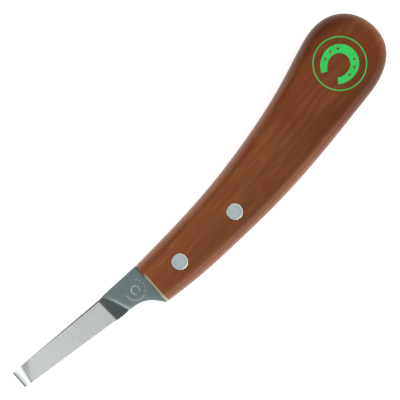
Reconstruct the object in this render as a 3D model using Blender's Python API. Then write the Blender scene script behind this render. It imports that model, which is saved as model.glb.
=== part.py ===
"""Hoof knife with a hooked tip, lying on the flat side of its handle.

One forged steel blade (tang, neck, ground blade, hook) sits in a slot sawn into a one-piece
hardwood handle. Two cutler's rivets, each a tube and a pin, hold it there.

+X runs from the hook to the butt, +Y towards the blade's spine, +Z out of the hook's open side.
The origin is the centre of the underside. Lengths below are in millimetres.
"""

import math
from collections import namedtuple

import bmesh
import bpy
import numpy as np

MM = 0.001
SMOOTH_BELOW = math.radians(30.0)
MERGE_WITHIN = 0.01
SPLINE_SAMPLES = 200
STRAIGHT_BELOW = 1e-9
CUT_PAST = 1.0

# Handle
HANDLE_THICK = 17.0
SHOULDER_WIDE = 4.4
MID_Z = HANDLE_THICK / 2
FRONT_LOW = (-36.35, -14.95)
FRONT_HIGH = (-34.8, 4.2)
BELLY_KNOTS = [FRONT_LOW, (-22, -16.98), (0, -18.55), (24, -19.23), (53, -17.9), (75, -15.85), (90, -12.85)]
BUTT_KNOTS = [(97.4, -7.1), (100.1, 2.2), (97.4, 11.9)]
BACK_KNOTS = [
    (91.5, 17.35), (83.5, 19.25), (74, 17.65), (57.9, 13.0), (35, 8.2), (9.9, 5.1), (-12.5, 4.15), FRONT_HIGH,
]
OUTLINE_STEPS = 84
SHOULDER_STEPS = 12

# Tang and its slot. The saw's cut starts in front of the handle and runs out past both of its edges.
TANG_THICK = 2.2
TANG_INSET = 0.45
TANG_END_X = 17.0
TANG_ROOT_X = -38.5
TANG_ROOT_BELOW_SPINE = 0.4
TANG_ROOT_ABOVE_EDGE = 3.2
SAW_RADIUS = 60.0
SAW_CENTRE_Y = -7.0
SAW_START_X = -45.0
SAW_LOW_Y, SAW_HIGH_Y = -25.0, 12.0
SAW_STEPS = 24
CLEARANCE = 0.3

# Neck, blade and hook. Outlines are those of the steel before the arch and the hook are bent.
NECK_THICK = 3.1
EDGE_KNOTS = [
    (-36.65, -15.0), (-38.5, -12.25), (-41.3, -9.1), (-44.5, -7.35), (-49.3, -6.5), (-53, -6.25), (-57, -5.3),
]
SPINE_KNOTS = [(-35.1, 4.25), (-44.5, 4.85), (-52.5, 5.35), (-57, 5.45)]
EDGE_SLOPE = -0.169
SPINE_SLOPE = -0.104
BLADE_TURN = math.radians(7.7)
CREASE_EDGE_X = -49.4
CREASE_SPINE_X = -53.4
CREASE_BOW = 0.4
BOW_SCALE = 27 / 4  # the highest value of s * s * (1 - s), for s from 0 to 1, is 4 / 27
PLUNGE_CURVE = 1.3
FACE_EDGE_X = -56.1
FACE_SPINE_X = -55.5
HOOK_EDGE_X = -97.1
HOOK_SPINE_X = -95.0
EDGE_THICK = 0.5
SPINE_THICK = 2.4
SPINE_THICK_AT_HOOK = 1.5
LIP_THICK = 0.6
DROP_TILT = math.radians(-4.0)
DROP_LONG = 4.0
HOOK_START_TILT = math.radians(8.0)
HOOK_END_TILT = math.radians(78.0)
LEAD_TILT = math.radians(9.0)
LEAD_LONG = 5.5
HOOK_EDGE_RADIUS = 3.0
HOOK_SPINE_RADIUS = 5.2
LIP_LONG = 2.2
NECK_CHAMFER = 0.3
SPINE_CHAMFER = 0.6
SPINE_CHAMFER_SLOPE = 0.55
FINE_CHAMFER = 0.1
NECK_ROWS, PLUNGE_ROWS, BLADE_ROWS, LEAD_ROWS, HOOK_ROWS, LIP_ROWS = 12, 7, 7, 4, 12, 2
ACROSS = 7
HOOK_TAPER = 0.25
SHOULDER_NOTCH = 0.4
NOTCH_LOW_Y = -1.0
NOTCH_FLOOR = 0.1
NOTCH_CUT_DEEP = 2.0

# Rivets
RIVET_CENTRES = [(-21.26, -7.26), (8.05, -9.12)]
HEAD_RADIUS = 3.45
HEAD_THICK = 1.6
HEAD_ROUND = 0.25
HEAD_ROUND_STEPS = 3
HEAD_SUNK = 0.05
TUBE_RADIUS = 2.4
TUBE_BORE = 1.5
TUBE_END_Z = 3.2
TUBE_BORE_TOP_Z = 12.0
PIN_RADIUS = 1.2
PIN_TOP_Z = 11.5
ROUND_STEPS = 32

# Worked out from the sizes above: the blade's own axes, where its arch starts, and where its hook and
# the gentle bend that leads into the hook do
ALONG = np.array((-math.cos(BLADE_TURN), math.sin(BLADE_TURN)))
SIDEWAYS = np.array((math.sin(BLADE_TURN), math.cos(BLADE_TURN)))
ARCH_START = np.array(((CREASE_EDGE_X + CREASE_SPINE_X) / 2, 0.0))
HOOK_EDGE_Y = EDGE_KNOTS[-1][1] + EDGE_SLOPE * (HOOK_EDGE_X - EDGE_KNOTS[-1][0])
HOOK_SPINE_Y = SPINE_KNOTS[-1][1] + SPINE_SLOPE * (HOOK_SPINE_X - SPINE_KNOTS[-1][0])
HOOK_EDGE_AT = float((np.array((HOOK_EDGE_X, HOOK_EDGE_Y)) - ARCH_START) @ ALONG)
HOOK_SPINE_AT = float((np.array((HOOK_SPINE_X, HOOK_SPINE_Y)) - ARCH_START) @ ALONG)
UNDER_Z = MID_Z - NECK_THICK / 2

Row = namedtuple("Row", "edge_x spine_x bow grind hook")


def clear_scene():
    for item in list(bpy.data.objects):
        bpy.data.objects.remove(item, do_unlink=True)


def material(name, colour, roughness, metallic):
    made = bpy.data.materials.new(name)
    made.use_nodes = True
    shader = made.node_tree.nodes["Principled BSDF"]
    shader.inputs["Base Color"].default_value = (*colour, 1.0)
    shader.inputs["Roughness"].default_value = roughness
    shader.inputs["Metallic"].default_value = metallic
    return made


def add_object(name, mesh, finish=None):
    item = bpy.data.objects.new(name, mesh)
    bpy.context.scene.collection.objects.link(item)
    mesh.shade_smooth()
    mesh.set_sharp_from_angle(angle=SMOOTH_BELOW)
    if finish:
        mesh.materials.append(finish)
    return item


def mesh_from_rings(name, rings):
    """A closed mesh from rings of equal length, joined by quads, with a flat cap on each end."""
    shape = bmesh.new()
    loops = [[shape.verts.new([value * MM for value in point]) for point in ring] for ring in rings]
    for near, far in zip(loops, loops[1:]):
        for i in range(len(near)):
            j = (i + 1) % len(near)
            shape.faces.new((near[i], near[j], far[j], far[i]))
    shape.faces.new(loops[0])
    shape.faces.new(loops[-1])
    bmesh.ops.recalc_face_normals(shape, faces=shape.faces)
    mesh = bpy.data.meshes.new(name)
    shape.to_mesh(mesh)
    shape.free()
    return mesh


def prism(name, outline, low, high):
    """An outline in the XY plane, extruded from one height to another."""
    return mesh_from_rings(name, [[(x, y, z) for x, y in outline] for z in (low, high)])


def turned(name, profile, centre):
    """A round solid from (radius, height) points that start and end on its upright axis."""
    shape = bmesh.new()
    chain = [shape.verts.new((radius * MM, 0, height * MM)) for radius, height in profile]
    edges = [shape.edges.new(pair) for pair in zip(chain, chain[1:])]
    bmesh.ops.spin(
        shape, geom=chain + edges, cent=(0, 0, 0), axis=(0, 0, 1),
        angle=math.tau, steps=ROUND_STEPS, use_merge=True,
    )
    bmesh.ops.remove_doubles(shape, verts=shape.verts, dist=MERGE_WITHIN * MM)
    bmesh.ops.translate(shape, verts=shape.verts, vec=(centre[0] * MM, centre[1] * MM, 0))
    bmesh.ops.recalc_face_normals(shape, faces=shape.faces)
    mesh = bpy.data.meshes.new(name)
    shape.to_mesh(mesh)
    shape.free()
    return mesh


def cut(item, cutter, operation="DIFFERENCE"):
    """Cuts a guide shape out of an item, or joins it on, and leaves the guide itself unseen."""
    cutter.hide_render = True
    cutter.display_type = "WIRE"
    boolean = item.modifiers.new(cutter.name, "BOOLEAN")
    boolean.operation = operation
    boolean.solver = "EXACT"
    boolean.object = cutter


def join(item, guide):
    cut(item, guide, "UNION")


class Curve:
    """A natural cubic spline through points, measured by the distance between them."""

    def __init__(self, knots):
        self.knots = np.array(knots, float)
        self.at = np.concatenate([[0], np.cumsum(np.linalg.norm(np.diff(self.knots, axis=0), axis=1))])
        gap = np.diff(self.at)
        count = len(self.knots)
        matrix = np.eye(count)
        right = np.zeros((count, 2))
        slope = np.diff(self.knots, axis=0) / gap[:, None]
        for i in range(1, count - 1):
            matrix[i, i - 1:i + 2] = gap[i - 1], 2 * (gap[i - 1] + gap[i]), gap[i]
            right[i] = 6 * (slope[i] - slope[i - 1])
        self.second = np.linalg.solve(matrix, right)

    def __call__(self, distance):
        i = int(np.clip(np.searchsorted(self.at, distance) - 1, 0, len(self.at) - 2))
        gap = self.at[i + 1] - self.at[i]
        back, on = self.at[i + 1] - distance, distance - self.at[i]
        bend = (back**3 / gap - gap * back) * self.second[i] + (on**3 / gap - gap * on) * self.second[i + 1]
        return (self.knots[i] * back + self.knots[i + 1] * on) / gap + bend / 6

    def evenly(self, steps):
        return np.array([self(d) for d in np.linspace(0, self.at[-1], steps + 1)])

    def y_at(self, x):
        """The height of a curve whose x always falls, at x."""
        points = self.evenly(SPLINE_SAMPLES)
        return float(np.interp(-x, -points[:, 0], points[:, 1]))


def unit(vector):
    return vector / np.linalg.norm(vector)


def handle_outline(inset):
    """The handle's outline from its lower front corner round the butt to its upper one, moved inwards."""
    points = Curve(BELLY_KNOTS + BUTT_KNOTS + BACK_KNOTS).evenly(OUTLINE_STEPS)
    along = np.gradient(points, axis=0)
    inward = np.array([unit(np.array((-dy, dx))) for dx, dy in along])
    front = unit(np.array(FRONT_HIGH) - np.array(FRONT_LOW))
    inward[0], inward[-1] = front, -front
    return points + inward * inset


def build_handle(finish):
    rings = []
    for turn in np.linspace(-math.pi / 2, math.pi / 2, SHOULDER_STEPS + 1):
        outline = handle_outline(SHOULDER_WIDE * (1 - math.cos(turn)))
        height = MID_Z * (1 + math.sin(turn))
        rings.append([(x, y, height) for x, y in outline])
    handle = add_object("handle", mesh_from_rings("handle", rings), finish)

    half = TANG_THICK / 2 + CLEARANCE
    slot = saw_outline(TANG_END_X + CLEARANCE, SAW_START_X, SAW_LOW_Y, SAW_HIGH_Y)
    cut(handle, add_object("slot_cutter", prism("slot_cutter", slot, MID_Z - half, MID_Z + half)))
    return handle


def saw_outline(end_x, front_x, low_y, high_y):
    """The reach of a circular saw fed in from the front: a strip whose far end is an arc."""
    centre_x = end_x - SAW_RADIUS
    heights = np.linspace(low_y, high_y, SAW_STEPS + 1)
    arc = [(centre_x + math.sqrt(SAW_RADIUS**2 - (y - SAW_CENTRE_Y) ** 2), y) for y in heights]
    return [(front_x, low_y)] + arc + [(front_x, high_y)]


def tang_outline():
    """The handle's outline moved inwards and cut short by the slot's arc."""
    inner = handle_outline(TANG_INSET)
    reach = np.hypot(inner[:, 0] - (TANG_END_X - SAW_RADIUS), inner[:, 1] - SAW_CENTRE_Y)
    kept = reach < SAW_RADIUS
    half = len(inner) // 2
    belly = [tuple(p) for p, inside in zip(inner[:half], kept[:half]) if inside]
    back = [tuple(p) for p, inside in zip(inner[half:], kept[half:]) if inside]
    end = saw_outline(TANG_END_X, 0, belly[-1][1], back[0][1])[1:-1]
    root = [
        (TANG_ROOT_X, back[-1][1] - TANG_ROOT_BELOW_SPINE),
        (TANG_ROOT_X, belly[0][1] + TANG_ROOT_ABOVE_EDGE),
    ]
    return belly + end + back + root


def neck_outline(knots, slope):
    """A long edge of the blade as y for any x: a spline along the neck, then straight to the hook."""
    curve = Curve(knots)
    last_x, last_y = knots[-1]
    return lambda x: curve.y_at(x) if x > last_x else last_y + slope * (x - last_x)


def mix(a, b, share):
    return a + (b - a) * share


def between(near, far, share):
    """The (edge x, spine x) of a line part of the way from one line across the blade to another."""
    return tuple(mix(a, b, share) for a, b in zip(near, far))


def blade_rows():
    """The lines that cross the blade, from the neck's shoulder to the end of the lip.

    bow is how far a line follows the bowed crease, grind runs 0 to 1 over the plunge,
    and hook runs 0 to 1 over the bend and 1 to 2 over the lip."""
    counts = (NECK_ROWS, PLUNGE_ROWS, BLADE_ROWS, LEAD_ROWS, HOOK_ROWS)
    neck, plunge, blade, lead, hook = (np.linspace(0, 1, count, endpoint=False) for count in counts)
    lip = np.linspace(1, 2, LIP_ROWS + 1)
    shoulder = (EDGE_KNOTS[0][0], SPINE_KNOTS[0][0])
    crease = (CREASE_EDGE_X, CREASE_SPINE_X)
    face = (FACE_EDGE_X, FACE_SPINE_X)
    bend = (HOOK_EDGE_X, HOOK_SPINE_X)
    before_bend = (HOOK_EDGE_X + LEAD_LONG, HOOK_SPINE_X + LEAD_LONG)
    rows = [Row(*between(shoulder, crease, t), t, 0, 0) for t in neck]
    rows += [Row(*between(crease, face, t), 1 - t, t, 0) for t in plunge]
    rows += [Row(*between(face, before_bend, t), 0, 1, 0) for t in blade]
    rows += [Row(*between(before_bend, bend, t), 0, 1, 0) for t in lead]
    rows += [Row(*bend, 0, 1, t) for t in (*hook, *lip)]
    return rows


def arc_walk(start, tilt, long, curvature):
    """Where a walk of one length and one curvature ends: (run, rise) and the tilt there."""
    run, rise = start
    if abs(curvature) < STRAIGHT_BELOW:
        return (run + long * math.cos(tilt), rise + long * math.sin(tilt)), tilt
    end = tilt + long * curvature
    run += (math.sin(end) - math.sin(tilt)) / curvature
    rise -= (math.cos(end) - math.cos(tilt)) / curvature
    return (run, rise), end


def underside(distance, share, hook):
    """Where the blade's underside is at a distance along it, and its tilt, seen from the side.

    It is level under the neck, drops a little, rises in a long arch, and ends in the hook and its lip.
    share runs from 0 at the edge to 1 at the spine, where the hook is rounder and a gentle bend leads
    into it."""
    place, tilt = arc_walk((0, 0), 0, min(distance, 0), 0)
    place, tilt = arc_walk(place, tilt, min(max(distance, 0), DROP_LONG), DROP_TILT / DROP_LONG)
    arch_end = (HOOK_EDGE_AT + HOOK_SPINE_AT) / 2
    arch_curvature = (HOOK_START_TILT - DROP_TILT) / (arch_end - DROP_LONG)
    lead_at = mix(HOOK_EDGE_AT, HOOK_SPINE_AT - LEAD_LONG, share)
    place, tilt = arc_walk(place, tilt, max(min(distance, lead_at) - DROP_LONG, 0), arch_curvature)
    place, tilt = arc_walk(place, tilt, max(distance - lead_at, 0), LEAD_TILT / LEAD_LONG)
    if hook:
        radius = mix(HOOK_EDGE_RADIUS, HOOK_SPINE_RADIUS, share)
        bend = (HOOK_END_TILT - tilt) * radius
        place, tilt = arc_walk(place, tilt, bend * min(hook, 1), 1 / radius)
        place, tilt = arc_walk(place, tilt, LIP_LONG * max(hook - 1, 0), 0)
    return place, tilt


def blade_section(row, edge_y, spine_y):
    """One closed ring round the blade, from the edge over the top to the spine and back underneath."""
    edge = np.array((row.edge_x, edge_y(row.edge_x)))
    spine = np.array((row.spine_x, spine_y(row.spine_x)))
    wide = np.linalg.norm(spine - edge)
    along = max(0.0, (FACE_SPINE_X - row.spine_x) / (FACE_SPINE_X - HOOK_SPINE_X))
    spine_thick = mix(mix(SPINE_THICK, SPINE_THICK_AT_HOOK, along), LIP_THICK, row.hook / 2)
    edge_thick = mix(EDGE_THICK, LIP_THICK, row.hook / 2)
    spine_chamfer = mix(NECK_CHAMFER, mix(SPINE_CHAMFER, FINE_CHAMFER, along), row.grind)
    spine_fall = spine_chamfer * mix(1, SPINE_CHAMFER_SLOPE, row.grind)
    edge_chamfer = mix(NECK_CHAMFER, FINE_CHAMFER, row.grind)

    def thick(share):
        ground = mix(edge_thick, spine_thick, share)
        return ground + (NECK_THICK - ground) * (1 - row.grind) ** PLUNGE_CURVE

    def place(share, height):
        flat = mix(edge, spine, share)
        flat[0] += row.bow * CREASE_BOW * BOW_SCALE * share * share * (1 - share)
        distance, sideways = (flat - ARCH_START) @ ALONG, (flat - ARCH_START) @ SIDEWAYS
        sideways -= HOOK_TAPER * row.hook * (share - 0.5)
        (run, rise), tilt = underside(distance, share, row.hook)
        x, y = ARCH_START + ALONG * (run - height * math.sin(tilt)) + SIDEWAYS * sideways
        return x, y, UNDER_Z + rise + height * math.cos(tilt)

    inner = np.linspace(0, 1, ACROSS + 1)[1:-1]
    near, far = edge_chamfer / wide, 1 - spine_chamfer / wide
    ring = [(0, thick(0) - edge_chamfer), (near, thick(near))]
    ring += [(share, thick(share)) for share in inner]
    ring += [(far, thick(far)), (1, thick(1) - spine_fall), (1, edge_chamfer), (1 - near, 0)]
    ring += [(share, 0) for share in inner[::-1]]
    ring += [(near, 0), (0, edge_chamfer)]
    return [place(share, height) for share, height in ring]


def build_blade(finish):
    edge_y = neck_outline(EDGE_KNOTS, EDGE_SLOPE)
    spine_y = neck_outline(SPINE_KNOTS, SPINE_SLOPE)
    rings = [blade_section(row, edge_y, spine_y) for row in blade_rows()]
    blade = add_object("blade", mesh_from_rings("blade", rings), finish)
    low, high = MID_Z - TANG_THICK / 2, MID_Z + TANG_THICK / 2
    join(blade, add_object("tang_guide", prism("tang_guide", tang_outline(), low, high)))
    high_cut = ("upper_notch_cutter", high + NOTCH_FLOOR, high + NOTCH_CUT_DEEP)
    low_cut = ("lower_notch_cutter", low - NOTCH_CUT_DEEP, low - NOTCH_FLOOR)
    for name, bottom, top in (high_cut, low_cut):
        cut(blade, add_object(name, prism(name, notch_outline(), bottom, top)))
    return blade


def notch_outline():
    """The strip by which the shoulder stands back from the wood along its upper third."""
    low, high = np.array(EDGE_KNOTS[0]), np.array(SPINE_KNOTS[0])
    lean = (high[0] - low[0]) / (high[1] - low[1])
    beyond = high[1] + CUT_PAST
    faces = [(low[0] + lean * (y - low[1]) - SHOULDER_NOTCH, y) for y in (NOTCH_LOW_Y, beyond)]
    return [faces[0], (FRONT_HIGH[0], NOTCH_LOW_Y), (FRONT_HIGH[0], beyond), faces[1]]


def rivet_hole_cutter(number, centre):
    """A through hole with a flat-bottomed sink for a head at each face."""
    wide, narrow = HEAD_RADIUS + CLEARANCE, TUBE_RADIUS + CLEARANCE
    floor = HEAD_SUNK + HEAD_THICK + CLEARANCE
    lower = [(0, -CUT_PAST), (wide, -CUT_PAST), (wide, floor), (narrow, floor)]
    upper = [(radius, HANDLE_THICK - height) for radius, height in lower[::-1]]
    name = f"rivet_{number}_hole_cutter"
    return add_object(name, turned(name, lower + upper, centre))


def head_profile():
    """Half of a rivet head from its middle out to its underside, as (radius, depth below the wood's face)."""
    flat = [(0, HEAD_SUNK), (HEAD_RADIUS - HEAD_ROUND, HEAD_SUNK)]
    turns = np.linspace(0, math.pi / 2, HEAD_ROUND_STEPS + 1)[1:]
    rim = [
        (HEAD_RADIUS - HEAD_ROUND * (1 - math.sin(turn)), HEAD_SUNK + HEAD_ROUND * (1 - math.cos(turn)))
        for turn in turns
    ]
    return flat + rim + [(HEAD_RADIUS, HEAD_SUNK + HEAD_THICK)]


def build_rivet(number, centre, finish):
    """A tube with a blind bore, headed at the upper face, and a pin headed at the lower face."""
    tube = [(radius, HANDLE_THICK - depth) for radius, depth in head_profile()]
    tube += [(TUBE_RADIUS, tube[-1][1]), (TUBE_RADIUS, TUBE_END_Z), (TUBE_BORE, TUBE_END_Z)]
    tube += [(TUBE_BORE, TUBE_BORE_TOP_Z), (0, TUBE_BORE_TOP_Z)]
    pin = head_profile()
    pin += [(PIN_RADIUS, pin[-1][1]), (PIN_RADIUS, PIN_TOP_Z), (0, PIN_TOP_Z)]
    for half, profile in (("tube", tube), ("pin", pin)):
        name = f"rivet_{number}_{half}"
        add_object(name, turned(name, profile, centre), finish)


clear_scene()
wood = material("stained_hardwood", (0.19, 0.058, 0.023), 0.45, 0.0)
steel = material("ground_steel", (0.60, 0.62, 0.61), 0.30, 1.0)
aluminium = material("turned_aluminium", (0.55, 0.56, 0.57), 0.35, 1.0)
handle = build_handle(wood)
blade = build_blade(steel)
for number, centre in enumerate(RIVET_CENTRES, 1):
    hole = rivet_hole_cutter(number, centre)
    cut(handle, hole)
    cut(blade, hole)
    build_rivet(number, centre, aluminium)
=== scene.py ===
"""Looks for a hoof knife lying on a pale studio floor.

A stained hardwood handle with a sawn slot, a forged blade with a satin neck, a ground face and a
hooked tip, two cutler's rivets, a printed badge on the wood and an etched one on the steel.
Lengths are in millimetres, in the frame of the CAD model, and MM turns them into metres.
"""

import math
from collections import namedtuple

import bmesh
import bpy
import numpy as np
from mathutils import Matrix, Vector


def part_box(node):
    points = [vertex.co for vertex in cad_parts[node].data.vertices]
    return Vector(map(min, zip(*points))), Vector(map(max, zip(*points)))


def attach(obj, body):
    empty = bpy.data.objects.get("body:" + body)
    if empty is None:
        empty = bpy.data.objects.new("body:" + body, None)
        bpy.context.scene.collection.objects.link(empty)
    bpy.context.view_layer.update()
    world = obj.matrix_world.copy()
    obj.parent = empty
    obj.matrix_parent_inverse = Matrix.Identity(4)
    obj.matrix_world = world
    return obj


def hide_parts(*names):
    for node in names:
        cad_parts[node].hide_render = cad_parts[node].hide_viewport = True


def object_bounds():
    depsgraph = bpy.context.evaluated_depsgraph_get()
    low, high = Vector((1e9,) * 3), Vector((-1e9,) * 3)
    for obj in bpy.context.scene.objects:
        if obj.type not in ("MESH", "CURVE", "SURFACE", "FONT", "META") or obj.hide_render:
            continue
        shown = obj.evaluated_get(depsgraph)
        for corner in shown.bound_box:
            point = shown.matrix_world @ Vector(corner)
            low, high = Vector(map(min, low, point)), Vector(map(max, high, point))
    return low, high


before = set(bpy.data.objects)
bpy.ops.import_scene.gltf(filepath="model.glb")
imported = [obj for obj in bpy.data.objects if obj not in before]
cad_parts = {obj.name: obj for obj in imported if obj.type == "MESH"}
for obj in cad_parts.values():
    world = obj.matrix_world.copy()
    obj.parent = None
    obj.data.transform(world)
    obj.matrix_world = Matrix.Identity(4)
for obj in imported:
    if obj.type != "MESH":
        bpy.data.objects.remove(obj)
cad_low, cad_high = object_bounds()

MM = 0.001
BODY = "root"


def box_of(node):
    """A CAD node's lowest and highest corner, in millimetres."""
    return tuple(np.array(corner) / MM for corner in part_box(node))


# Driving sizes, from the frame where it holds them
HANDLE_LOW, HANDLE_HIGH = box_of("handle")
RIVET_BOXES = {name: box_of(name) for name in ("rivet_1_tube", "rivet_1_pin", "rivet_2_tube", "rivet_2_pin")}
TUBE_BOXES = [box for name, box in RIVET_BOXES.items() if name.endswith("tube")]
FACE_Z = HANDLE_HIGH[2]
MID_Z = FACE_Z / 2

# How finely curves are cut, and how far a cutting tool runs past what it cuts
CURVE_SAMPLES = 400
STRAIGHT_BELOW = 1e-9
WELD_WITHIN, DISSOLVE_WITHIN = 0.0005, 0.0001
TOOL_PAST, SAW_PAST = 1.0, 5.0

# Handle
SHOULDER_WIDE = 4.4
FRONT_LOW = (-36.35, -14.95)
FRONT_HIGH = (-34.8, 4.2)
BELLY_KNOTS = [FRONT_LOW, (-22, -16.98), (0, -18.55), (24, -19.23), (53, -17.9), (75, -15.85), (90, -12.85)]
BUTT_KNOTS = [(97.4, -7.1), (100.1, 2.2), (97.4, 11.9)]
BACK_KNOTS = [
    (91.5, 17.35), (83.5, 19.25), (74, 17.65), (57.9, 13.0), (35, 8.2), (9.9, 5.1), (-12.5, 4.15), FRONT_HIGH,
]
BUTT_MIDDLE = (78.0, 1.7)
OUTLINE_STEPS = 300
SHOULDER_STEPS = 28
FLAT_COLUMNS = 16
FRONT_ROUND, FRONT_ROUND_STEPS = 0.5, 4
FRONT_RIM_ANGLE = 50.0
HANDLE_SHARP_ANGLE = 35.0
FRONT_HIGHLIGHT_WIDE = 1.2

# Tang and its slot
TANG_THICK = 2.2
TANG_INSET = 0.45
TANG_END_X = 17.0
TANG_ROOT_X = -38.5
TANG_ROOT_BELOW_SPINE, TANG_ROOT_ABOVE_EDGE = 0.4, 3.2
SAW_RADIUS = 60.0
SAW_CENTRE_Y = -7.0
SAW_STEPS = 48
SLOT_GAP = 0.12
TANG_END_GAP = 0.3

# Neck, blade and hook, as outlines of the steel before its arch and hook are bent
NECK_THICK = 3.1
EDGE_KNOTS = [
    (-36.65, -15.0), (-38.5, -12.25), (-41.3, -9.1), (-44.5, -7.35), (-49.3, -6.5), (-53, -6.25), (-57, -5.3),
]
SPINE_KNOTS = [(-35.1, 4.25), (-44.5, 4.85), (-52.5, 5.35), (-57, 5.45)]
EDGE_SLOPE = -0.169
SPINE_SLOPE = -0.104
BLADE_TURN = math.radians(7.7)
CREASE_EDGE_X, CREASE_SPINE_X, CREASE_BOW = -49.4, -53.4, 0.4
BOW_SCALE = 27 / 4  # the highest value of s * s * (1 - s), for s from 0 to 1, is 4 / 27
CREASE_LOW, CREASE_HIGH = (-49.5, -6.5), (-53.2, 5.4)
FACE_EDGE_X, FACE_SPINE_X = -56.0, -55.5
HOOK_EDGE_X, HOOK_SPINE_X = -97.1, -95.0
EDGE_THICK, SPINE_THICK, SPINE_THICK_AT_HOOK, LIP_THICK = 0.5, 2.4, 1.5, 0.6
DROP_TILT, DROP_LONG = math.radians(-4.0), 4.0
HOOK_START_TILT, HOOK_END_TILT = math.radians(8.0), math.radians(78.0)
LEAD_TILT, LEAD_LONG = math.radians(9.0), 5.5
HOOK_EDGE_RADIUS, HOOK_SPINE_RADIUS, LIP_LONG, HOOK_TAPER = 3.0, 5.2, 2.2, 0.25
PLUNGE_CURVE = 1.3
EDGE_ROLL_WIDE, EDGE_ROLL_FALL = 3.0, 0.18
CREASE_ROLL_LONG, CREASE_ROLL_FALL = 2.4, 0.15
NECK_CHAMFER, SPINE_CHAMFER, FINE_CHAMFER = 0.3, 0.6, 0.1
SPINE_CHAMFER_SLOPE = 0.55
CREASE_EASE, CREASE_EASE_ROWS = 0.4, 8
NECK_ROWS, PLUNGE_ROWS, BLADE_ROWS, LEAD_ROWS, HOOK_ROWS, LIP_ROWS = 40, 26, 50, 16, 44, 6
ACROSS = 26
BLADE_SHARP_ANGLE = 24.0
SHOULDER_NOTCH = 0.4
NOTCH_LOW_Y = -1.0
NOTCH_FLOOR, NOTCH_CUT_DEEP = 0.1, 2.0
NECK_TOP_Z = MID_Z + NECK_THICK / 2

# Rivets
RIVET_GAP = 0.14
HEAD_THICK = 1.6
HEAD_RINGS = 5
HEAD_ROUND, HEAD_ROUND_POINTS = 0.3, 7
HEAD_ROUND_FROM, HEAD_ROUND_TO = math.radians(28), math.radians(62)
SINK_DEEPER = 0.3
SINK_RIM_EASE = 0.12
RIM_HIGHLIGHT_FROM = 2.85
TUBE_RADIUS = 2.4
TUBE_BORE = 1.5
TUBE_BORE_TOP_Z = 12.0
PIN_RADIUS = 1.2
ROUND_STEPS = 96

# Badges
BADGE_CENTRE = (79.0, 1.7)
BADGE_TURN = math.radians(11.0)
BADGE_RADIUS = 10.6
BADGE_RING_WIDE = 0.42
PRINT_THICK = 0.03
ETCH_CENTRE = (-41.9, -2.4)
ETCH_RADIUS = 4.1
ETCH_LINE_WIDE = 0.26
ETCH_THICK = 0.03
PROUD_SHARE = 0.8
SHOE_CELLS = 66
SHOE_FROM, SHOE_TO = -58, 238
SHOE_STRETCH = 1.22
NAIL_CELLS = [start + step for start in (9, 16, 23, 41, 48, 55) for step in (0, 1)]
DASHES, DASH_FROM, DASH_LONG, DASH_PITCH = 5, 306, 14, 22

# Studio. The camera's sizes set how wide a strip of the floor it takes in.
FLOOR_REACH, FLOOR_CELLS, FLOOR_BELOW = 6000, 24, 0.05
VIEW_TURN = math.radians(46.0)
VIEW_CENTRE = (1.88, 3.95)
VIEW_WIDE = 160.0
LENS, SENSOR = 150.0, 36.0
ROOM_LIGHT, ROOM_SLANT, ROOM_DARKEST = 0.76, 0.50, 0.11

# Worked out from the sizes above: the blade's own axes, where its arch starts, and where its hook and
# the gentle bend that leads into the hook do
ALONG = np.array((-math.cos(BLADE_TURN), math.sin(BLADE_TURN)))
SIDEWAYS = np.array((math.sin(BLADE_TURN), math.cos(BLADE_TURN)))
ARCH_START = np.array(((CREASE_EDGE_X + CREASE_SPINE_X) / 2, 0.0))
HOOK_EDGE_Y = EDGE_KNOTS[-1][1] + EDGE_SLOPE * (HOOK_EDGE_X - EDGE_KNOTS[-1][0])
HOOK_SPINE_Y = SPINE_KNOTS[-1][1] + SPINE_SLOPE * (HOOK_SPINE_X - SPINE_KNOTS[-1][0])
HOOK_EDGE_AT = float((np.array((HOOK_EDGE_X, HOOK_EDGE_Y)) - ARCH_START) @ ALONG)
HOOK_SPINE_AT = float((np.array((HOOK_SPINE_X, HOOK_SPINE_Y)) - ARCH_START) @ ALONG)
UNDER_Z = MID_Z - NECK_THICK / 2

Row = namedtuple("Row", "edge_x spine_x bow grind hook")


# ---------------------------------------------------------------- shader maths


class Signal:
    """One output of a shader node. Arithmetic on signals adds the Math nodes that do it."""

    def __init__(self, finish, socket):
        self.finish = finish
        self.socket = socket

    def maths(self, operation, *values):
        return self.finish.node("Math", {"operation": operation}, values)

    def __add__(self, other):
        return self.maths("ADD", self, other)

    __radd__ = __add__

    def __sub__(self, other):
        return self.maths("SUBTRACT", self, other)

    def __rsub__(self, other):
        return self.maths("SUBTRACT", other, self)

    def __mul__(self, other):
        return self.maths("MULTIPLY", self, other)

    __rmul__ = __mul__

    def wave(self):
        return self.maths("SINE", self)

    def from_to(self, low, high):
        """0 at low and beyond, 1 at high and beyond, with a smooth step between, whichever is greater."""
        settings = {"interpolation_type": "SMOOTHSTEP"}
        return self.finish.node("MapRange", settings, {"Value": self, "From Min": low, "From Max": high})


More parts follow.
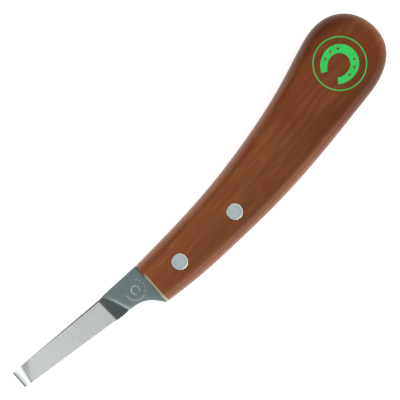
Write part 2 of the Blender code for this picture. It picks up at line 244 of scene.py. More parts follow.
class Finish:
    """A material, or the world's shader, built from plain calls."""

    def __init__(self, name=None, world=None):
        self.owner = world or bpy.data.materials.new(name)
        self.owner.use_nodes = True
        self.tree = self.owner.node_tree

    def node(self, kind, settings=None, values=(), output=0):
        made = self.tree.nodes.new("ShaderNode" + kind)
        for key, value in (settings or {}).items():
            setattr(made, key, value)
        for key, value in values.items() if isinstance(values, dict) else enumerate(values):
            self.feed(made.inputs[key], value)
        return Signal(self, made.outputs[output])

    def feed(self, socket, value):
        if isinstance(value, Signal):
            self.tree.links.new(value.socket, socket)
        else:
            socket.default_value = value

    def surface(self, **values):
        """Sets the sockets of the shader. A name's underscores stand for spaces."""
        shader = self.tree.nodes["Principled BSDF"]
        for key, value in values.items():
            self.feed(shader.inputs[key.replace("_", " ")], value)
        return self.owner

    def place(self):
        """Where the surface is, in millimetres, in the piece's own frame."""
        return self.stretch(self.node("TexCoord", output=3), (1 / MM,) * 3)

    def stretch(self, place, by):
        return self.node("VectorMath", {"operation": "MULTIPLY"}, (place, by))

    def shift(self, place, by):
        return self.node("VectorMath", {"operation": "ADD"}, (place, by))

    def turn(self, place, angle):
        return self.node("VectorRotate", {"rotation_type": "Z_AXIS"}, {"Vector": place, "Angle": angle})

    def axis(self, place, name):
        return self.node("SeparateXYZ", None, (place,), "XYZ".index(name))

    def past_line(self, place, low, high):
        """How far a point is past a line through two others, towards the butt, in millimetres."""
        run, rise = np.array(high) - np.array(low)
        long = math.hypot(run, rise)
        across = self.axis(place, "X") * (rise / long) - self.axis(place, "Y") * (run / long)
        return across - (low[0] * rise - low[1] * run) / long

    def noise(self, place, scale=1.0, detail=2.0, rough=0.5, bend=0.0):
        values = {"Vector": place, "Scale": scale, "Detail": detail, "Roughness": rough, "Distortion": bend}
        return self.node("TexNoise", None, values)

    def blend(self, low, high, share, how="MIX"):
        """One colour laid over another by a share of 0 to 1."""
        low, high = (value if isinstance(value, Signal) else (*value, 1.0) for value in (low, high))
        return self.node("Mix", {"data_type": "RGBA", "blend_type": how}, {0: share, 6: low, 7: high}, 2)

    def bump(self, height, depth, strength=1.0):
        """A normal from a height of 0 to 1 that stands for a depth in millimetres."""
        return self.node("Bump", None, {"Strength": strength, "Distance": depth * MM, "Height": height})


def stained_hardwood():
    """Red-brown stained wood with streaks, flecks and pores under a thin lacquer.

    It has painted shade along its arrises, on its back shoulders and round its butt's edge, is darker towards
    its belly and its butt, and has a painted highlight along its front edge."""
    wood = Finish("stained_hardwood")
    grain = wood.turn(wood.place(), math.radians(-4))
    drift = wood.noise(wood.stretch(grain, (0.02, 0.05, 0.05)), detail=1)
    lean = wood.stretch(wood.node("CombineXYZ", None, (0.0, drift, drift)), (0, 6, 6))
    bent = wood.shift(grain, lean)
    streaks = wood.noise(wood.stretch(bent, (0.045, 0.50, 0.50)), detail=3, rough=0.55)
    fibres = wood.noise(wood.stretch(bent, (0.16, 5.0, 5.0)), detail=3, rough=0.6)
    flecks = wood.noise(wood.stretch(bent, (0.09, 0.95, 0.95)), detail=2).from_to(0.62, 0.74)
    pores = wood.noise(wood.stretch(bent, (0.5, 6.5, 6.5)), detail=2).from_to(0.64, 0.72)
    cloud = wood.noise(wood.place(), scale=0.07, detail=2)

    place = wood.place()
    along, across = wood.axis(place, "X"), wood.axis(place, "Y")
    from_middle = (wood.axis(place, "Z") - MID_Z).maths("ABSOLUTE")
    flat_face = from_middle.from_to(8.38, 8.49)
    # painted shade: a dark band on the rounded arrises, just off the flat faces
    painted_arris_shade = from_middle.from_to(7.1, 7.9) - flat_face
    # painted shade: the shoulders of the back half are darkened, as they face away from the key light; the
    # same mask also thins the coat on the back half
    painted_back_shade = from_middle.from_to(1.5, 6.0) * across.from_to(-3, 3)
    # darker towards the belly
    belly_darkening = across.from_to(-1, -15)
    handled = along.from_to(30, 95)
    # painted shade round the butt's rounded edge
    from_butt = wood.stretch(wood.shift(place, (-BUTT_MIDDLE[0], -BUTT_MIDDLE[1], 0)), (0.55, 1, 0))
    painted_butt_shade = wood.node("VectorMath", {"operation": "LENGTH"}, (from_butt,), 1).from_to(9.5, 15.5)
    # painted highlight: a pale beige line along the front edge, on the belly side
    painted_front_highlight = 1 - wood.past_line(place, FRONT_LOW, FRONT_HIGH).from_to(FRONT_HIGHLIGHT_WIDE - 0.6, FRONT_HIGHLIGHT_WIDE + 0.1)

    colour = wood.blend((0.190, 0.0500, 0.0150), (0.292, 0.0840, 0.0260), streaks.from_to(0.28, 0.66))
    layers = [
        # red and brown clouds, light flecks, fibres and pores
        ((0.240, 0.0490, 0.0120), cloud.from_to(0.45, 0.65) * 0.6),
        ((0.205, 0.0640, 0.0130), cloud.from_to(0.50, 0.32) * 0.5),
        ((0.440, 0.2050, 0.0950), flecks * (0.1 + along.from_to(60, 0) * 0.35)),
        ((0.290, 0.0850, 0.0170), fibres.from_to(0.45, 0.75) * 0.16),
        ((0.100, 0.0240, 0.0050), pores * 0.45),
        # pinker towards the front, then painted shade on the arrises and back shoulders, darker towards the
        # belly, and darker towards the butt with painted shade round its edge
        ((0.330, 0.1020, 0.0330), along.from_to(40, -35) * 0.3),
        ((0.080, 0.0180, 0.0028), painted_arris_shade * 0.78),
        ((0.060, 0.0140, 0.0035), (painted_back_shade - flat_face) * 0.68),
        ((0.110, 0.0270, 0.0070), belly_darkening * 0.36),
        ((0.080, 0.0180, 0.0030), handled * (0.26 + painted_butt_shade * 0.62)),
        # a painted highlight along the front edge, on its belly side
        ((0.520, 0.470, 0.350), painted_front_highlight * across.from_to(0.5, -2.5) * 0.9),
    ]
    for tone, share in layers:
        colour = wood.blend(colour, tone, share)
    return wood.surface(
        Base_Color=colour,
        Roughness=0.42 + fibres * 0.12,
        Normal=wood.bump(fibres * 0.5 + streaks * 0.3 - pores * 0.6, 0.03, 0.5),
        Coat_Weight=(1 - painted_back_shade * 0.92) * (0.44 - handled * 0.24),
        Coat_Roughness=0.18,
        Specular_IOR_Level=0.06,
    )


def steel(name, colour, rough, line, line_depth):
    """Satin or ground steel: fine lines across the blade, faint clouds and small specks.

    A painted highlight lies just before the crease, and painted shade, partly grime, darkens the notch by the
    wood."""
    made = Finish(name)
    across = made.turn(made.place(), BLADE_TURN)
    lines = made.noise(made.stretch(across, (line, 0.12, 0.4)), detail=3, rough=0.65)
    clouds = made.noise(made.place(), scale=0.16, detail=3)
    specks = made.noise(made.place(), scale=2.6, detail=2).from_to(0.70, 0.78)
    dull = [value * 0.86 for value in colour]
    tone = made.blend(dull, colour, lines.from_to(0.3, 0.65))
    tone = made.blend(tone, [value * 0.93 for value in colour], clouds.from_to(0.42, 0.62) * 0.6)
    tone = made.blend(tone, [value * 0.6 for value in colour], specks * 0.4)
    place = made.place()
    high = made.axis(place, "Y")
    before_crease = made.past_line(place, CREASE_LOW, CREASE_HIGH)
    # painted highlight: a pale bluish strip on the neck just before the crease
    painted_crease_highlight = (before_crease.from_to(-0.6, -0.2) - before_crease.from_to(0.0, 2.0)) * high.from_to(3.5, 0.0)
    tone = made.blend(tone, (0.76, 0.86, 0.88), painted_crease_highlight * 0.8)
    # painted shade, partly grime: the notch floor by the wood is near-black and not metallic
    by_wood = made.past_line(place, FRONT_LOW, FRONT_HIGH).from_to(-0.5, -0.4)
    notch_shade_and_grime = by_wood * high.from_to(NOTCH_LOW_Y - 0.1, NOTCH_LOW_Y)
    tone = made.blend(tone, (0.012, 0.010, 0.009), notch_shade_and_grime)
    return made.surface(
        Base_Color=tone,
        Metallic=1 - notch_shade_and_grime,
        Roughness=rough + lines * 0.08 + clouds * 0.06,
        Normal=made.bump(lines, line_depth, 0.5),
    )


def turned_aluminium():
    """A rivet's metal, with the fine rings that its facing cut left, and a painted highlight on its rim."""
    metal = Finish("turned_aluminium")
    place = metal.place()
    flat = metal.stretch(place, (1, 1, 0))
    radius = metal.node("VectorMath", {"operation": "LENGTH"}, (flat,), 1)
    rings = (radius * 26.0 + metal.noise(place, scale=0.8) * 3.0).wave() * 0.5 + 0.5
    clouds = metal.noise(place, scale=0.9, detail=3)
    scuffs = metal.noise(metal.stretch(metal.turn(place, 0.7), (0.5, 8, 1)), detail=2).from_to(0.62, 0.72)
    tone = metal.blend((0.54, 0.61, 0.64), (0.64, 0.70, 0.73), clouds.from_to(0.35, 0.65))
    tone = metal.blend(tone, (0.84, 0.86, 0.85), scuffs * 0.35)
    # painted highlight: the head's outer rim is warm near-white and a little smoother
    rim = radius.from_to(RIM_HIGHLIGHT_FROM, RIM_HIGHLIGHT_FROM + 0.1)
    tone = metal.blend(tone, (0.97, 0.94, 0.88), rim)
    return metal.surface(
        Base_Color=tone,
        Metallic=1.0,
        Roughness=0.36 + clouds * 0.1 - rim * 0.2,
        Normal=metal.bump(rings * 0.7 + scuffs * 0.3, 0.004, 0.5),
    )


def printed_ink():
    """Opaque green ink, a little uneven, with pinholes where the pores of the wood drank it."""
    ink = Finish("green_print")
    place = ink.place()
    uneven = ink.noise(place, scale=0.5, detail=3)
    pinholes = ink.noise(ink.stretch(place, (1.2, 5, 5)), detail=1).from_to(0.76, 0.82)
    tone = ink.blend((0.018, 0.66, 0.085), (0.026, 0.76, 0.120), uneven.from_to(0.35, 0.65))
    tone = ink.blend(tone, (0.03, 0.36, 0.06), pinholes * 0.5)
    return ink.surface(
        Base_Color=tone,
        Roughness=0.38 + uneven * 0.12,
        Normal=ink.bump(ink.noise(place, scale=4, detail=2), 0.01, 0.4),
    )


def etched_steel():
    """The pale, matt bite that an etch leaves."""
    etch = Finish("etched_steel")
    grains = etch.noise(etch.place(), scale=9, detail=2)
    tone = etch.blend((0.50, 0.57, 0.57), (0.72, 0.78, 0.78), grains.from_to(0.35, 0.65))
    return etch.surface(
        Base_Color=tone,
        Metallic=0.0,
        Roughness=0.6 + grains * 0.2,
        Normal=etch.bump(grains, 0.01, 0.5),
    )


def floor_board():
    """A matt, near-white studio board."""
    board = Finish("floor_board")
    fleck = board.noise(board.place(), scale=0.9, detail=3)
    tone = board.blend((0.92, 0.92, 0.92), (0.94, 0.94, 0.94), fleck)
    return board.surface(
        Base_Color=tone,
        Roughness=0.7,
        Specular_IOR_Level=0.2,
        Emission_Color=(1.0, 1.0, 1.0, 1.0),
        Emission_Strength=0.62,
    )


# ---------------------------------------------------------------- shapes


class Curve:
    """A natural cubic spline through points, measured by the distance between them."""

    def __init__(self, knots):
        self.knots = np.array(knots, float)
        self.at = np.concatenate([[0], np.cumsum(np.linalg.norm(np.diff(self.knots, axis=0), axis=1))])
        gap = np.diff(self.at)
        count = len(self.knots)
        matrix = np.eye(count)
        right = np.zeros((count, 2))
        slope = np.diff(self.knots, axis=0) / gap[:, None]
        for i in range(1, count - 1):
            matrix[i, i - 1:i + 2] = gap[i - 1], 2 * (gap[i - 1] + gap[i]), gap[i]
            right[i] = 6 * (slope[i] - slope[i - 1])
        self.second = np.linalg.solve(matrix, right)

    def __call__(self, distance):
        i = int(np.clip(np.searchsorted(self.at, distance) - 1, 0, len(self.at) - 2))
        gap = self.at[i + 1] - self.at[i]
        back, on = self.at[i + 1] - distance, distance - self.at[i]
        bend = (back**3 / gap - gap * back) * self.second[i] + (on**3 / gap - gap * on) * self.second[i + 1]
        return (self.knots[i] * back + self.knots[i + 1] * on) / gap + bend / 6

    def evenly(self, steps):
        return np.array([self(d) for d in np.linspace(0, self.at[-1], steps + 1)])


def mix(a, b, share):
    return a + (b - a) * share


def between(near, far, share):
    """The (edge x, spine x) of a line part of the way from one line across the blade to another."""
    return tuple(mix(a, b, share) for a, b in zip(near, far))


def unit(vector):
    return vector / np.linalg.norm(vector)


def middle(low, high):
    """The middle of a box, seen from above."""
    return (low + high)[:2] / 2


def finished(name, shape, *finishes, smooth_below=30.0, at=(0, 0)):
    """An object from a bmesh in millimetres, with its finishes, shaded smooth up to an angle."""
    bmesh.ops.recalc_face_normals(shape, faces=shape.faces)
    bmesh.ops.scale(shape, vec=(MM,) * 3, verts=shape.verts)
    mesh = bpy.data.meshes.new(name)
    shape.to_mesh(mesh)
    shape.free()
    for finish in finishes:
        mesh.materials.append(finish)
    mesh.shade_smooth()
    mesh.set_sharp_from_angle(angle=math.radians(smooth_below))
    piece = bpy.data.objects.new(name, mesh)
    piece.location = (at[0] * MM, at[1] * MM, 0)
    bpy.context.scene.collection.objects.link(piece)
    return piece


def cut(piece, tool, operation="DIFFERENCE"):
    """Cuts a tool's shape out of a piece, or joins it on, for good, and throws the tool away."""
    boolean = piece.modifiers.new("cut", "BOOLEAN")
    boolean.operation = operation
    boolean.solver = "EXACT"
    boolean.object = tool
    graph = bpy.context.evaluated_depsgraph_get()
    mesh = bpy.data.meshes.new_from_object(piece.evaluated_get(graph), depsgraph=graph)
    piece.modifiers.clear()
    piece.data = mesh
    bpy.data.objects.remove(tool, do_unlink=True)


def sharpen(piece, angle):
    piece.data.shade_smooth()
    piece.data.set_sharp_from_angle(angle=math.radians(angle))


def grid(shape, rows, finish_of=None):
    """Quads between rows of points. finish_of gives a face's finish from its row's number."""
    verts = [[shape.verts.new(point) for point in row] for row in rows]
    for number, (near, far) in enumerate(zip(verts, verts[1:])):
        for i in range(len(near) - 1):
            face = shape.faces.new((near[i], near[i + 1], far[i + 1], far[i]))
            if finish_of:
                face.material_index = finish_of(number)
    return verts


def weld(shape):
    bmesh.ops.remove_doubles(shape, verts=shape.verts, dist=WELD_WITHIN)
    bmesh.ops.dissolve_degenerate(shape, edges=shape.edges, dist=DISSOLVE_WITHIN)


def prism(outline, low, high):
    """An outline in the XY plane, extruded from one height to another."""
    shape = bmesh.new()
    rings = [[shape.verts.new((x, y, z)) for x, y in outline] for z in (low, high)]
    shape.faces.new(rings[0])
    shape.faces.new(rings[1])
    for i in range(len(outline)):
        j = (i + 1) % len(outline)
        shape.faces.new((rings[0][i], rings[0][j], rings[1][j], rings[1][i]))
    return shape


def turned(profile):
    """A round solid from (radius, height) points that start and end on its upright axis."""
    shape = bmesh.new()
    chain = [shape.verts.new((radius, 0, height)) for radius, height in profile]
    edges = [shape.edges.new(pair) for pair in zip(chain, chain[1:])]
    bmesh.ops.spin(
        shape, geom=chain + edges, cent=(0, 0, 0), axis=(0, 0, 1),
        angle=math.tau, steps=ROUND_STEPS, use_merge=True,
    )
    weld(shape)
    return shape


# ---------------------------------------------------------------- handle


def handle_outline(inset):
    """The handle's outline from its lower front corner round the butt to its upper one, moved inwards."""
    points = Curve(BELLY_KNOTS + BUTT_KNOTS + BACK_KNOTS).evenly(OUTLINE_STEPS)
    along = np.gradient(points, axis=0)
    inward = np.array([unit(np.array((-dy, dx))) for dx, dy in along])
    front = unit(np.array(FRONT_HIGH) - np.array(FRONT_LOW))
    inward[0], inward[-1] = front, -front
    return points + inward * inset


def saw_outline(end_x, front_x, low_y, high_y):
    """The reach of a circular saw fed in from the front: a strip whose far end is an arc."""
    centre_x = end_x - SAW_RADIUS
    heights = np.linspace(low_y, high_y, SAW_STEPS + 1)
    far_end = [(centre_x + math.sqrt(SAW_RADIUS**2 - (y - SAW_CENTRE_Y) ** 2), y) for y in heights]
    return [(front_x, low_y)] + far_end + [(front_x, high_y)]


def rungs(ends_a, ends_b):
    """The rows of a sheet of straight rungs between two matching rows of points."""
    shares = np.linspace(0, 1, FLAT_COLUMNS + 1)
    return [[mix(np.array(a), np.array(b), share) for share in shares] for a, b in zip(ends_a, ends_b)]


def build_handle(finish):
    """A block rounded over all along its outline, closed by flat faces, then eased, sawn and bored."""
    shape = bmesh.new()
    levels = []
    for turn in np.linspace(-math.pi / 2, math.pi / 2, SHOULDER_STEPS + 1):
        outline = handle_outline(SHOULDER_WIDE * (1 - math.cos(turn)))
        height = MID_Z * (1 + math.sin(turn))
        levels.append([(x, y, height) for x, y in outline])
    grid(shape, levels)
    half = OUTLINE_STEPS // 2
    for level in (levels[0], levels[-1]):
        grid(shape, rungs(level[:half + 1], level[:half - 1:-1]))
    grid(shape, rungs([level[0] for level in levels], [level[-1] for level in levels]))
    weld(shape)
    bmesh.ops.recalc_face_normals(shape, faces=shape.faces)
    rim = [edge for edge in shape.edges if edge.calc_face_angle(0) > math.radians(FRONT_RIM_ANGLE)]
    bmesh.ops.bevel(
        shape, geom=rim, offset=FRONT_ROUND, segments=FRONT_ROUND_STEPS, profile=0.5, affect="EDGES",
    )
    handle = finished("hardwood_handle", shape, finish)

    slot = saw_outline(
        end_x=TANG_END_X + TANG_END_GAP, front_x=HANDLE_LOW[0] - SAW_PAST,
        low_y=HANDLE_LOW[1] - SAW_PAST, high_y=FRONT_HIGH[1] + SAW_PAST,
    )
    reach = TANG_THICK / 2 + SLOT_GAP
    cut(handle, finished("slot_tool", prism(slot, MID_Z - reach, MID_Z + reach)))
    for low, high in TUBE_BOXES:
        cut(handle, finished("hole_tool", turned(sunk_hole(low, high)), at=middle(low, high)))
    sharpen(handle, HANDLE_SHARP_ANGLE)
    return handle


def sunk_hole(low, high):
    """The profile of a through hole with a sink for a rivet's head at each face, its rims eased."""
    wide, narrow = (high[0] - low[0]) / 2 + RIVET_GAP, TUBE_RADIUS + RIVET_GAP
    rim = wide + SINK_RIM_EASE
    floor = HEAD_THICK + SINK_DEEPER
    mouth = [(0, -TOOL_PAST), (rim, -TOOL_PAST), (rim, 0), (wide, SINK_RIM_EASE)]
    lower = mouth + [(wide, floor), (narrow, floor)]
    return lower + [(radius, FACE_Z - height) for radius, height in lower[::-1]]


# ---------------------------------------------------------------- blade


def long_edge(knots, slope):
    """The blade's cutting edge or its spine, as y for any x: a spline along the neck, then straight."""
    points = Curve(knots).evenly(CURVE_SAMPLES)
    last_x, last_y = knots[-1]

    def y_at(x):
        if x > last_x:
            return float(np.interp(-x, -points[:, 0], points[:, 1]))
        return last_y + slope * (x - last_x)

    return y_at


def blade_rows():
    """The lines that cross the blade, from the neck's shoulder to the end of the lip.

    bow is how far a line follows the bowed crease, grind runs 0 to 1 over the plunge, and
    hook runs 0 to 1 over the bend and 1 to 2 over the lip."""
    shoulder = (EDGE_KNOTS[0][0], SPINE_KNOTS[0][0])
    crease = (CREASE_EDGE_X, CREASE_SPINE_X)
    face = (FACE_EDGE_X, FACE_SPINE_X)
    before_bend = (HOOK_EDGE_X + LEAD_LONG, HOOK_SPINE_X + LEAD_LONG)
    bend = (HOOK_EDGE_X, HOOK_SPINE_X)
    neck_ease = CREASE_EASE / (shoulder[1] - crease[1])
    plunge_ease = CREASE_EASE / (crease[0] - face[0])
    neck = [*np.linspace(0, 1 - neck_ease, NECK_ROWS)]
    neck += [*np.linspace(1 - neck_ease, 1, CREASE_EASE_ROWS)[1:-1]]
    plunge = [*np.linspace(0, plunge_ease, CREASE_EASE_ROWS)[:-1]]
    plunge += [*np.linspace(plunge_ease, 1, PLUNGE_ROWS)[:-1]]
    counts = (BLADE_ROWS, LEAD_ROWS, HOOK_ROWS)
    blade, lead, hook = (np.linspace(0, 1, count, endpoint=False) for count in counts)
    lip = np.linspace(1, 2, LIP_ROWS + 1)
    rows = [Row(*between(shoulder, crease, t), t, 0, 0) for t in neck]
    rows += [Row(*between(crease, face, t), 1 - t, t, 0) for t in plunge]
    rows += [Row(*between(face, before_bend, t), 0, 1, 0) for t in blade]
    rows += [Row(*between(before_bend, bend, t), 0, 1, 0) for t in lead]
    rows += [Row(*bend, 0, 1, t) for t in (*hook, *lip)]
    return rows


def arc_walk(start, tilt, long, curvature):
    """Where a walk of one length and one curvature ends: (run, rise) and the tilt there."""
    run, rise = start
    if abs(curvature) < STRAIGHT_BELOW:
        return (run + long * math.cos(tilt), rise + long * math.sin(tilt)), tilt
    end = tilt + long * curvature
    run += (math.sin(end) - math.sin(tilt)) / curvature
    rise -= (math.cos(end) - math.cos(tilt)) / curvature
    return (run, rise), end


def underside(distance, share, hook):
    """Where the blade's underside is at a distance along it, and its tilt, seen from the side.

    It is level under the neck, drops a little, rises in a long arch, and ends in the hook and its lip.
    share runs from 0 at the edge to 1 at the spine, where the hook is rounder and a gentle bend leads
    into it."""
    place, tilt = arc_walk((0, 0), 0, min(distance, 0), 0)
    place, tilt = arc_walk(place, tilt, min(max(distance, 0), DROP_LONG), DROP_TILT / DROP_LONG)
    arch_end = (HOOK_EDGE_AT + HOOK_SPINE_AT) / 2
    arch_curvature = (HOOK_START_TILT - DROP_TILT) / (arch_end - DROP_LONG)
    lead_at = mix(HOOK_EDGE_AT, HOOK_SPINE_AT - LEAD_LONG, share)
    place, tilt = arc_walk(place, tilt, max(min(distance, lead_at) - DROP_LONG, 0), arch_curvature)
    place, tilt = arc_walk(place, tilt, max(distance - lead_at, 0), LEAD_TILT / LEAD_LONG)
    if hook:
        radius = mix(HOOK_EDGE_RADIUS, HOOK_SPINE_RADIUS, share)
        bend = (HOOK_END_TILT - tilt) * radius
        place, tilt = arc_walk(place, tilt, bend * min(hook, 1), 1 / radius)
        place, tilt = arc_walk(place, tilt, LIP_LONG * max(hook - 1, 0), 0)
    return place, tilt


def blade_section(row, edge_y, spine_y):
    """One closed ring round the blade, from the edge over the top to the spine and back underneath."""
    edge = np.array((row.edge_x, edge_y(row.edge_x)))
    spine = np.array((row.spine_x, spine_y(row.spine_x)))
    wide = np.linalg.norm(spine - edge)
    along = max(0.0, (FACE_SPINE_X - row.spine_x) / (FACE_SPINE_X - HOOK_SPINE_X))
    spine_thick = mix(mix(SPINE_THICK, SPINE_THICK_AT_HOOK, along), LIP_THICK, row.hook / 2)
    edge_thick = mix(EDGE_THICK, LIP_THICK, row.hook / 2)
    spine_chamfer = mix(NECK_CHAMFER, mix(SPINE_CHAMFER, FINE_CHAMFER, along), row.grind)
    spine_fall = spine_chamfer * mix(1, SPINE_CHAMFER_SLOPE, row.grind)
    edge_chamfer = mix(NECK_CHAMFER, FINE_CHAMFER, row.grind)

    def thick(share):
        """How thick the steel is, rolled off by the neck's edge and crease, with the crease itself eased."""
        ground = mix(edge_thick, spine_thick, share)
        plunge_long = mix(CREASE_EDGE_X - FACE_EDGE_X, CREASE_SPINE_X - FACE_SPINE_X, share)
        neck_long = mix(EDGE_KNOTS[0][0] - CREASE_EDGE_X, SPINE_KNOTS[0][0] - CREASE_SPINE_X, share)
        past_crease = row.grind * plunge_long if row.grind else (row.bow - 1) * neck_long
        neck_high = NECK_THICK - EDGE_ROLL_FALL * max(0.0, 1 - share * wide / EDGE_ROLL_WIDE) ** 2
        neck_high -= CREASE_ROLL_FALL * min(1.0, max(0.0, 1 + past_crease / CREASE_ROLL_LONG)) ** 2
        if abs(past_crease) > CREASE_EASE:
            return ground + (neck_high - ground) * (1 - row.grind) ** PLUNGE_CURVE
        fall = (neck_high - ground) * PLUNGE_CURVE / plunge_long
        return neck_high - fall * (past_crease + CREASE_EASE) ** 2 / (4 * CREASE_EASE)

    def place(share, height):
        flat = mix(edge, spine, share)
        flat[0] += row.bow * CREASE_BOW * BOW_SCALE * share * share * (1 - share)
        distance, sideways = (flat - ARCH_START) @ ALONG, (flat - ARCH_START) @ SIDEWAYS
        sideways -= HOOK_TAPER * row.hook * (share - 0.5)
        (run, rise), tilt = underside(distance, share, row.hook)
        x, y = ARCH_START + ALONG * (run - height * math.sin(tilt)) + SIDEWAYS * sideways
        return x, y, UNDER_Z + rise + height * math.cos(tilt)

    near, far = edge_chamfer / wide, 1 - spine_chamfer / wide
    inner = np.linspace(near, far, ACROSS + 1)[1:-1]
    ring = [(0, thick(0) - edge_chamfer), (near, thick(near))]
    ring += [(share, thick(share)) for share in inner]
    ring += [(far, thick(far)), (1, thick(1) - spine_fall), (1, edge_chamfer), (1 - near, 0)]
    ring += [(share, 0) for share in inner[::-1]]
    ring += [(near, 0), (0, edge_chamfer)]
    ring += ring[:1]
    return [place(share, height) for share, height in ring]


def tang_outline():
    """The handle's outline moved inwards and cut short by the slot's arc."""
    inner = handle_outline(TANG_INSET)
    reach = np.hypot(inner[:, 0] - (TANG_END_X - SAW_RADIUS), inner[:, 1] - SAW_CENTRE_Y)
    kept = reach < SAW_RADIUS
    half = len(inner) // 2
    belly = [tuple(p) for p, inside in zip(inner[:half], kept[:half]) if inside]
    back = [tuple(p) for p, inside in zip(inner[half:], kept[half:]) if inside]
    end = saw_outline(TANG_END_X, 0, belly[-1][1], back[0][1])[1:-1]
    root = [
        (TANG_ROOT_X, back[-1][1] - TANG_ROOT_BELOW_SPINE),
        (TANG_ROOT_X, belly[0][1] + TANG_ROOT_ABOVE_EDGE),
    ]
    return belly + end + back + root


def notch_outline():
    """The strip by which the shoulder stands back from the wood along its upper third."""
    low, high = np.array(EDGE_KNOTS[0]), np.array(SPINE_KNOTS[0])
    lean = (high[0] - low[0]) / (high[1] - low[1])
    beyond = high[1] + TOOL_PAST
    faces = [(low[0] + lean * (y - low[1]) - SHOULDER_NOTCH, y) for y in (NOTCH_LOW_Y, beyond)]
    return [faces[0], (FRONT_HIGH[0], NOTCH_LOW_Y), (FRONT_HIGH[0], beyond), faces[1]]


def build_blade(satin, ground):
    """The forging, from shoulder to lip, with the tang joined on, the shoulder notched and two holes."""
    edge_y, spine_y = long_edge(EDGE_KNOTS, EDGE_SLOPE), long_edge(SPINE_KNOTS, SPINE_SLOPE)
    shape = bmesh.new()
    rings = [blade_section(row, edge_y, spine_y) for row in blade_rows()]
    grid(shape, rings, lambda number: int(number >= NECK_ROWS - 1))
    weld(shape)
    bmesh.ops.holes_fill(shape, edges=[edge for edge in shape.edges if edge.is_boundary], sides=0)
    blade = finished("forged_blade", shape, satin, ground)
    low, high = MID_Z - TANG_THICK / 2, MID_Z + TANG_THICK / 2
    cut(blade, finished("tang_tool", prism(tang_outline(), low, high)), "UNION")
    notches = ((high + NOTCH_FLOOR, high + NOTCH_CUT_DEEP), (low - NOTCH_CUT_DEEP, low - NOTCH_FLOOR))
    for bottom, top in notches:
        cut(blade, finished("notch_tool", prism(notch_outline(), bottom, top)))
    wide = TUBE_RADIUS + RIVET_GAP
    for low, high in TUBE_BOXES:
        hole = turned([(0, 0), (wide, 0), (wide, FACE_Z), (0, FACE_Z)])
        cut(blade, finished("hole_tool", hole, at=middle(low, high)))
    sharpen(blade, BLADE_SHARP_ANGLE)
    return blade


# ---------------------------------------------------------------- rivets


def head_profile(radius):
    """Half of a rivet head, as (radius, depth below its face), from its middle out to its underside."""
    turns = np.linspace(HEAD_ROUND_FROM, HEAD_ROUND_TO, HEAD_ROUND_POINTS)
    reach = math.sin(turns[-1]) - math.sin(turns[0])
    rim = [
        (radius - HEAD_ROUND * (math.sin(turns[-1]) - math.sin(turn)) / reach,
         HEAD_ROUND * (math.cos(turns[0]) - math.cos(turn)) / reach)
        for turn in turns
    ]
    rings = [(ring, 0) for ring in np.linspace(0, radius - HEAD_ROUND, HEAD_RINGS + 1)[:-1]]
    return rings + rim + [(radius, HEAD_THICK)]


def build_rivet(node, finish):
    """Half a cutler's rivet: a tube with a blind bore, headed above, or a pin, headed below."""
    low, high = RIVET_BOXES[node]
    head = head_profile((high[0] - low[0]) / 2)
    if node.endswith("tube"):
        profile = [(radius, high[2] - depth) for radius, depth in head]
        profile += [(TUBE_RADIUS, profile[-1][1]), (TUBE_RADIUS, low[2]), (TUBE_BORE, low[2])]
        profile += [(TUBE_BORE, TUBE_BORE_TOP_Z), (0, TUBE_BORE_TOP_Z)]
    else:
        profile = [(radius, low[2] + depth) for radius, depth in head]
        profile += [(PIN_RADIUS, profile[-1][1]), (PIN_RADIUS, high[2]), (0, high[2])]
    return finished("turned_" + node, turned(profile), finish, at=middle(low, high))


# ---------------------------------------------------------------- badges


def band(shape, centre_line, wide_at, missing=()):
    """A flat strip along a line, three cells wide, with some of its middle cells left out."""
    points = np.array(centre_line)
    along = np.gradient(points, axis=0)
    rows = []
    for number, (point, (dx, dy)) in enumerate(zip(points, along)):
        out = unit(np.array((dy, -dx))) * wide_at(number / (len(points) - 1))
        rows.append([shape.verts.new((*(point + out * share), 0)) for share in (-0.5, -0.12, 0.12, 0.5)])
    for number, (near, far) in enumerate(zip(rows, rows[1:])):
        for i in range(3):
            if not (i == 1 and number in missing):
                shape.faces.new((near[i], near[i + 1], far[i + 1], far[i]))


def arc(radius, start, end, steps, stretch=1.0):
    """Points on an arc, in degrees, with its lower half stretched downwards."""
    turns = np.radians(np.linspace(start, end, steps + 1))
    return [
        (radius * math.cos(turn), radius * math.sin(turn) * (stretch if math.sin(turn) < 0 else 1))
        for turn in turns
    ]


def horseshoe(shape, radius, wide, nails=True):
    """A plain horseshoe, toe up, thinner at its heels, with three nail slots in each branch."""
    line = arc(radius, SHOE_FROM, SHOE_TO, SHOE_CELLS, stretch=SHOE_STRETCH)
    missing = NAIL_CELLS if nails else ()
    band(shape, line, lambda share: wide * (0.70 + 0.30 * math.sin(math.pi * share)), missing)


def badge(name, shape, finish, centre, turn, face_z, thick):
    """Lays a flat figure on a face, a hair proud of it, as ink or an etch lies."""
    weld(shape)
    bmesh.ops.solidify(shape, geom=shape.faces, thickness=thick)
    bmesh.ops.recalc_face_normals(shape, faces=shape.faces)
    top = max(vert.co.z for vert in shape.verts)
    bmesh.ops.rotate(shape, verts=shape.verts, matrix=Matrix.Rotation(turn, 3, "Z"))
    lift = face_z + thick * PROUD_SHARE - top
    bmesh.ops.translate(shape, verts=shape.verts, vec=(*centre, lift))
    return finished(name, shape, finish)


def build_print(finish):
    """The handle's badge: a horseshoe in a plain ring."""
    shape = bmesh.new()
    band(shape, arc(BADGE_RADIUS, 0, 360, 120), lambda share: BADGE_RING_WIDE)
    horseshoe(shape, BADGE_RADIUS * 0.56, BADGE_RADIUS * 0.34)
    return badge("printed_badge", shape, finish, BADGE_CENTRE, BADGE_TURN - math.pi / 2, FACE_Z, PRINT_THICK)


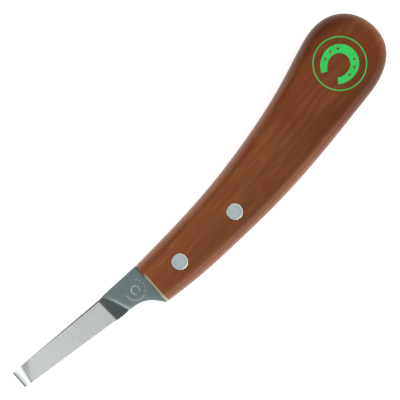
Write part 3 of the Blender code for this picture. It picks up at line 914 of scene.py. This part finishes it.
def build_etch(finish):
    """The neck's badge: a small horseshoe between a fine arc and a row of dashes."""
    shape = bmesh.new()
    dash_starts = [DASH_FROM + DASH_PITCH * number for number in range(DASHES)]
    strokes = [(165, 290, 30)] + [(start, start + DASH_LONG, 4) for start in dash_starts]
    for start, end, steps in strokes:
        band(shape, arc(ETCH_RADIUS, start, end, steps), lambda share: ETCH_LINE_WIDE)
    horseshoe(shape, ETCH_RADIUS * 0.40, ETCH_LINE_WIDE * 1.6, nails=False)
    return badge("etched_badge", shape, finish, ETCH_CENTRE, 0.0, NECK_TOP_Z, ETCH_THICK)


# ---------------------------------------------------------------- studio


def build_floor():
    shape = bmesh.new()
    bmesh.ops.create_grid(shape, x_segments=FLOOR_CELLS, y_segments=FLOOR_CELLS, size=FLOOR_REACH)
    bmesh.ops.translate(shape, verts=shape.verts, vec=(0, 0, cad_low.z / MM - FLOOR_BELOW))
    finished("studio_floor", shape, floor_board())


def softbox(name, place, aim, wide, high, power):
    """A white rectangular light. Sizes and places are in metres, from the middle of the knife's underside."""
    lamp = bpy.data.lights.new(name, "AREA")
    lamp.shape = "RECTANGLE"
    lamp.size, lamp.size_y = wide, high
    lamp.energy = power
    light = bpy.data.objects.new(name, lamp)
    light.location = place
    light.rotation_mode = "QUATERNION"
    light.rotation_quaternion = (Vector(aim) - Vector(place)).to_track_quat("-Z", "Y")
    light.visible_camera = False
    bpy.context.scene.collection.objects.link(light)


def build_surroundings():
    """A pale room: darker straight overhead and to three sides, as flags hang there, and plain to look at."""
    world = bpy.data.worlds.new("studio_room")
    bpy.context.scene.world = world
    room = Finish(world=world)
    direction = room.node("TexCoord", output=0)

    def flag(centre, inner, outer, long=1.0):
        """1 within a round or long patch of the ceiling, fading to 0 at its outer edge."""
        offset = room.stretch(room.shift(direction, (-centre[0], -centre[1], 0)), (1 / long, 1, 0))
        reach = room.node("VectorMath", {"operation": "LENGTH"}, (offset,), 1)
        return 1 - reach.from_to(inner, outer)

    overhead = flag((0.10, 0.04), 0.13, 0.22, 1.33)
    hook_side = flag((-0.86, -0.10), 0.37, 0.49)
    butt_side = flag((0.34, -0.38), 0.08, 0.30)
    back_side = flag((-0.05, 0.74), 0.30, 0.52)
    above = room.axis(direction, "Z").from_to(0.04, 0.14)
    cool = overhead * 0.62 + hook_side * 0.84
    shade = above * (cool + butt_side * 0.80 + back_side * 0.86)
    slant = room.axis(direction, "X").from_to(-0.35, 0.55) * ROOM_SLANT
    light = ROOM_LIGHT + slant - shade
    tint = room.blend((1.0, 1.0, 0.98), (0.84, 1.0, 1.02), cool.from_to(0.1, 0.6))
    background = room.tree.nodes["Background"]
    room.feed(background.inputs["Strength"], light.maths("MAXIMUM", light, ROOM_DARKEST))
    room.feed(background.inputs["Color"], tint)


def build_camera():
    """Straight above, turned so that the butt points up and to the right."""
    lens = bpy.data.cameras.new("camera")
    lens.lens, lens.sensor_width = LENS, SENSOR
    camera = bpy.data.objects.new("camera", lens)
    distance = VIEW_WIDE * LENS / SENSOR
    camera.location = (VIEW_CENTRE[0] * MM, VIEW_CENTRE[1] * MM, (MID_Z + distance) * MM)
    camera.rotation_euler = (0, 0, -VIEW_TURN)
    bpy.context.scene.collection.objects.link(camera)
    bpy.context.scene.camera = camera


# ---------------------------------------------------------------- assembly


wood = stained_hardwood()
satin_steel = steel("satin_steel", (0.265, 0.325, 0.335), 0.25, 3.0, 0.01)
ground_steel = steel("ground_steel", (0.69, 0.72, 0.705), 0.12, 5.0, 0.0008)
aluminium = turned_aluminium()

handle = build_handle(wood)
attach(handle, BODY)
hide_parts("handle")

blade = build_blade(satin_steel, ground_steel)
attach(blade, BODY)
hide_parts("blade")

for node in RIVET_BOXES:
    rivet = build_rivet(node, aluminium)
    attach(rivet, BODY)
    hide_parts(node)

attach(build_print(printed_ink()), BODY)
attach(build_etch(etched_steel()), BODY)

build_floor()
build_surroundings()
softbox("key_light", (0.05, -0.95, 0.30), (0, 0, 0), 1.1, 0.5, 3.2)
softbox("tip_light", (0.81, -0.33, 0.15), (-0.095, 0.005, 0.01), 0.42, 0.22, 0.32)
build_camera()
bpy.context.scene.view_settings.view_transform = "Standard"
